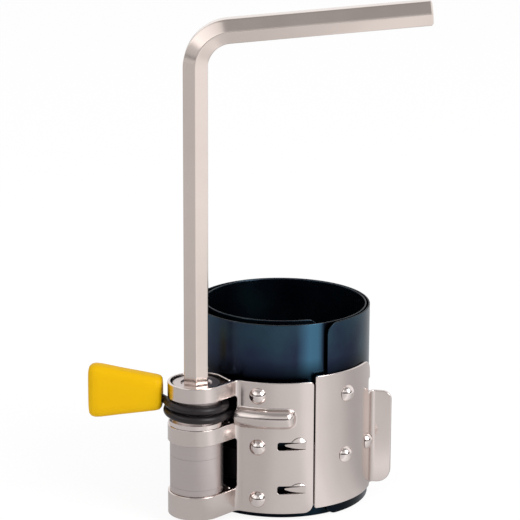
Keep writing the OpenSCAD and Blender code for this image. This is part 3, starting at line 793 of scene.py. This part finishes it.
def rivets(name, seat, places, tail, body, replaced):
    spots = empty_piece(name)
    heads = [on_circle(LAP_AXIS, seat, angle) + (z,) for angle, z in places]
    spots.data.from_pydata([[c * MM for c in p] for p in heads], [], [])
    aims = spots.data.attributes.new("outward", "FLOAT_VECTOR", "POINT")
    for row, (angle, _) in zip(aims.data, places):
        row.vector = on_circle((0, 0), 1, angle) + (0,)
    pattern = headed_rivet(name + "_pattern", tail)
    make(spots, SET_RIVETS, {"Rivet": pattern, "Finish": RIVET}, pattern)
    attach(spots, body)
    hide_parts(*replaced)


rivets("bracket_rivets", BRACKET_MID + PLATE_THICK / 2, BRACKET_RIVETS, BRACKET_TAIL_Z, "bracket",
       ("bracket_rivet_upper", "bracket_rivet_middle", "bracket_rivet_lower"))
rivets("clamp_rivets", CLAMP_MID + PLATE_THICK / 2, CLAMP_RIVETS, None, "clamp",
       ("clamp_rivet_upper", "clamp_rivet_lower", "clamp_rivet_edge"))


def wrap_spring():
    """Anchored in the bead, round the spindle clockwise as it rises, and out into the grip."""
    anchored = [p + (BEAD_Z,) for p in arc(LAP_AXIS, BRACKET_MID, *ANCHOR_ANGLES, 2)]
    first = touch_angle(anchored[-1], COIL_RADIUS)
    low, high = COIL_Z
    coil = []
    for i in range(COIL_STEPS + 1):
        t = i / COIL_STEPS
        place = on_circle(SPINDLE_AXIS, COIL_RADIUS, first + (COIL_END - first) * t)
        coil.append(place + (low + (high - low) * t,))
    tang = [on_circle(SPINDLE_AXIS, reach, GRIP_ANGLE) + (z,) for reach, z in TANG]
    inlet = soften([anchored[-2], anchored[-1], coil[0]], 1.6)
    outlet = soften([coil[-1]] + tang, 2.0)
    line = guide("wrap_spring_line", anchored[:-2] + inlet[:-1] + coil[:-1] + outlet)
    return make(empty_piece("wrap_spring_wire"), DRAW, {
        "Line": line, "Wire radius": WIRE_RADIUS * MM, "Sides": WIRE_SIDES, "Finish": WIRE}, line)


def paddle():
    """Moulded grip: a tapered paddle with generous rounds, wider and higher at its free end."""
    turn = Matrix.Rotation(math.radians(GRIP_ANGLE), 3, "Z")
    middle = Vector((*SPINDLE_AXIS, GRIP_Z))
    across, upright = PADDLE_POWERS
    count = 48
    rings = []
    for reach, half_high, half_thick in PADDLE_RINGS:
        ring = []
        for k in range(count):
            c, s = on_circle((0, 0), 1, 360 * k / count)
            y = half_thick * math.copysign(abs(c) ** across, c)
            z = half_high * math.copysign(abs(s) ** upright, s)
            ring.append(turn @ Vector((reach, y, z)) + middle)
        rings.append(ring)
    return from_rings("paddle_grip", rings, YELLOW, sharp=60)


def hexagon():
    """Section of the key: flats joined by small rounds."""
    flat, section = KEY_FLATS / 2, []
    reach = (flat - KEY_ROUND) / math.cos(math.radians(30))
    rest = (flat - KEY_ROUND) * math.tan(math.radians(30)) - KEY_ROUND
    for corner in range(30, 390, 60):
        centre = on_circle((0, 0), reach, corner)
        section.append(on_circle(on_circle((0, 0), flat, corner - 30), rest, corner + 60))
        section += [on_circle(centre, KEY_ROUND, corner + turned) for turned in (-30, -15, 0, 15, 30)]
        section.append(on_circle(on_circle((0, 0), flat, corner + 30), rest, corner - 60))
    return section


def bent_key():
    """Hexagon bar with broken ends, bent once; two of its corners lie across the bend."""
    low, high = KEY_Z
    line = [((0, low), 0, KEY_TIP_SCALE), ((0, low + KEY_BREAK), 0, 1.0)]
    line += [((0, low + (high - low) * i / 12), 0, 1.0) for i in range(1, 13)]
    for i in range(1, 25):
        a = math.radians(KEY_TURN * i / 24)
        line.append(((KEY_BEND - KEY_BEND * math.cos(a), high + KEY_BEND * math.sin(a)), a, 1.0))
    (u, z), a, _ = line[-1]
    for along, scale in ((20, 1.0), (40, 1.0), (KEY_ARM - KEY_BREAK, 1.0), (KEY_ARM, KEY_TIP_SCALE)):
        line.append(((u + along * math.sin(a), z + along * math.cos(a)), a, scale))
    foot = Vector((*SPINDLE_AXIS, 0))
    section = hexagon()
    rings = []
    for (u, z), a, scale in line:
        c, s = scale * math.cos(a), scale * math.sin(a)
        rings.append([Vector((u + m * c, n * scale, z - m * s)) + foot for m, n in section])
    return from_rings("bent_hexagon_key", rings, KEY, sharp=24)


spring = wrap_spring()
grip = paddle()
key = bent_key()

# What each piece moves with, stands for and is finished in
for piece, body, node, slot in (
        (inner_turns, "bracket", "sleeve_band", "blued_spring_steel"),
        (bracket, "bracket", "bracket_plate", "nickel_plated_sheet"),
        (clamp, "clamp", "clamp_plate", "nickel_plated_sheet"),
        (grip, "release", "release_grip", "yellow_plastic"),
        (key, "key", "hex_key", "nickel_plated_key")):
    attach(piece, body)
    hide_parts(node)
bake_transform(outer_lap)
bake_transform(strap)
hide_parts("tension_strap")
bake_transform(spring)
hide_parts("wrap_spring")
for name, finish in (("spindle", TURNED), ("strap_roll", TURNED), ("thrust_washer", RIVET)):
    cad[name].data.materials.clear()
    cad[name].data.materials.append(finish)

# Studio, in metres: a white floor that fades into a white room, dim behind the camera, a soft box and a fill
WHITE = (1, 1, 1, 1)
PAPER = (0.9, 0.9, 0.9, 1)
FLOOR_HALF = 4
FLOOR_Z = -0.0003
FLOOR_GLOW = 1.06
FLOOR_SHARE = 0.85
ROOM_SPREAD = 0.55
# Level of the room behind the camera, by the sine of its height, as reflections show it
ROOM_LEVELS = ((0.0, 0.9), (0.05, 0.05), (0.27, 0.05), (0.36, 0.95), (0.55, 0.7), (0.8, 0.35))
# Level of the floor near the object, by bearing from the left round past the camera, as reflections show it
FLOOR_LEVELS = (
    (0.0, 0.55), (0.1, 0.54), (0.2, 0.53), (0.25, 0.68), (0.3, 0.74), (0.328, 1.0), (0.35, 1.0), (0.376, 0.86),
    (0.42, 0.7), (0.5, 0.45), (0.75, 0.8), (1.0, 0.55))
LAMP_AIM = (0, 0, 0.05)
CAMERA_PLACE = (-0.0016, -0.7694, 0.28926)
CAMERA_PAN = 0.423
CAMERA_TILT = 74.881
CAMERA_ROLL = 0.262
CAMERA_LENS = 161.42

scene = bpy.context.scene
scene.view_settings.view_transform = "Standard"


def by_ray(tree, seen, mirrored, spread):
    """One level for rays from the camera or through clear surfaces, one for reflections and one for the rest."""
    path = add(tree, "ShaderNodeLightPath").outputs
    direct = maths(tree, "MAXIMUM", path["Is Camera Ray"], path["Is Transmission Ray"])
    other = add(tree, "ShaderNodeMix", {"Factor": path["Is Glossy Ray"], "A": spread, "B": mirrored})
    return add(tree, "ShaderNodeMix", {"Factor": direct, "A": other.outputs[0], "B": seen}).outputs[0]


def levels(tree, value, stops):
    """A level that changes smoothly with a value from 0 to 1."""
    ramp = add(tree, "ShaderNodeValToRGB", {"Fac": value})
    ramp.color_ramp.interpolation = "EASE"
    marks = ramp.color_ramp.elements
    while len(marks) < len(stops):
        marks.new(0.5)
    for mark, (at, level) in zip(marks, stops):
        mark.position = at
        mark.color = (level, level, level, 1)
    return ramp.outputs["Color"]


def white_room():
    world = bpy.data.worlds.new("white_room")
    scene.world = world
    world.use_nodes = True
    room = world.node_tree
    room.nodes.clear()
    facing = split(room, add(room, "ShaderNodeTexCoord").outputs["Generated"])
    past_camera = levels(room, facing["Z"], ROOM_LEVELS)
    backdrop = fade(room, facing["Y"], -0.2, 0.3)
    mirrored = add(room, "ShaderNodeMix", {"Factor": backdrop, "A": past_camera, "B": 1.0}).outputs[0]
    light = add(room, "ShaderNodeBackground", {
        "Color": WHITE, "Strength": by_ray(room, 1.0, mirrored, ROOM_SPREAD)})
    add(room, "ShaderNodeOutputWorld", {"Surface": light.outputs[0]})


def paper_sweep():
    """White paper: even and bright to the eye, keeping the object's shadow, and shaded in reflections."""
    paper = bpy.data.materials.new("white_paper_sweep")
    paper.use_nodes = True
    sweep = paper.node_tree
    sweep.nodes.clear()
    place = add(sweep, "ShaderNodeNewGeometry").outputs["Position"]
    spot = split(sweep, place)
    bearing = fade(sweep, maths(sweep, "ARCTAN2", spot["Y"], spot["X"]), -math.pi, math.pi)
    near = levels(sweep, bearing, FLOOR_LEVELS)
    far = between(sweep, fade(sweep, spot["X"], -0.3, 0.25), 0.6, 1.0)
    apart = fade(sweep, vectors(sweep, "LENGTH", {0: place})["Value"], 0.26, 0.36)
    mirrored = add(sweep, "ShaderNodeMix", {"Factor": apart, "A": near, "B": far}).outputs[0]
    matte = add(sweep, "ShaderNodeBsdfDiffuse", {"Color": PAPER}).outputs[0]
    glow = add(sweep, "ShaderNodeEmission", {
        "Color": WHITE, "Strength": by_ray(sweep, FLOOR_GLOW, mirrored, 0.0)}).outputs[0]
    share = by_ray(sweep, FLOOR_SHARE, FLOOR_SHARE, 0.0)
    mix = add(sweep, "ShaderNodeMixShader", {0: share, 1: matte, 2: glow})
    add(sweep, "ShaderNodeOutputMaterial", {"Surface": mix.outputs[0]})
    return paper


def soft_box(name, place, size, watts):
    lamp = bpy.data.lights.new(name, "AREA")
    lamp.shape = "RECTANGLE"
    lamp.size, lamp.size_y = size
    lamp.energy = watts
    holder = bpy.data.objects.new(name, lamp)
    holder.location = place
    holder.rotation_euler = (Vector(LAMP_AIM) - Vector(place)).to_track_quat("-Z", "Y").to_euler()
    scene.collection.objects.link(holder)


white_room()
floor = empty_piece("floor")
floor_corners = [(x * FLOOR_HALF, y * FLOOR_HALF, FLOOR_Z) for x, y in ((-1, -1), (1, -1), (1, 1), (-1, 1))]
floor.data.from_pydata(floor_corners, [], [(0, 1, 2, 3)])
floor.data.materials.append(paper_sweep())
soft_box("soft_box_right", (0.9, -0.75, 0.75), (0.7, 0.9), 11)
soft_box("soft_fill_left", (-1.1, -0.9, 0.9), (1.4, 1.4), 3.5)

lens = bpy.data.cameras.new("camera")
lens.sensor_width = 36
lens.lens = CAMERA_LENS
lens.clip_start = 0.01
camera = bpy.data.objects.new("camera", lens)
camera.matrix_world = Matrix.Translation(CAMERA_PLACE)
for degrees, axis in ((CAMERA_PAN, "Z"), (CAMERA_TILT, "X"), (CAMERA_ROLL, "Z")):
    camera.matrix_world = camera.matrix_world @ Matrix.Rotation(math.radians(degrees), 4, axis)
scene.collection.objects.link(camera)
scene.camera = camera
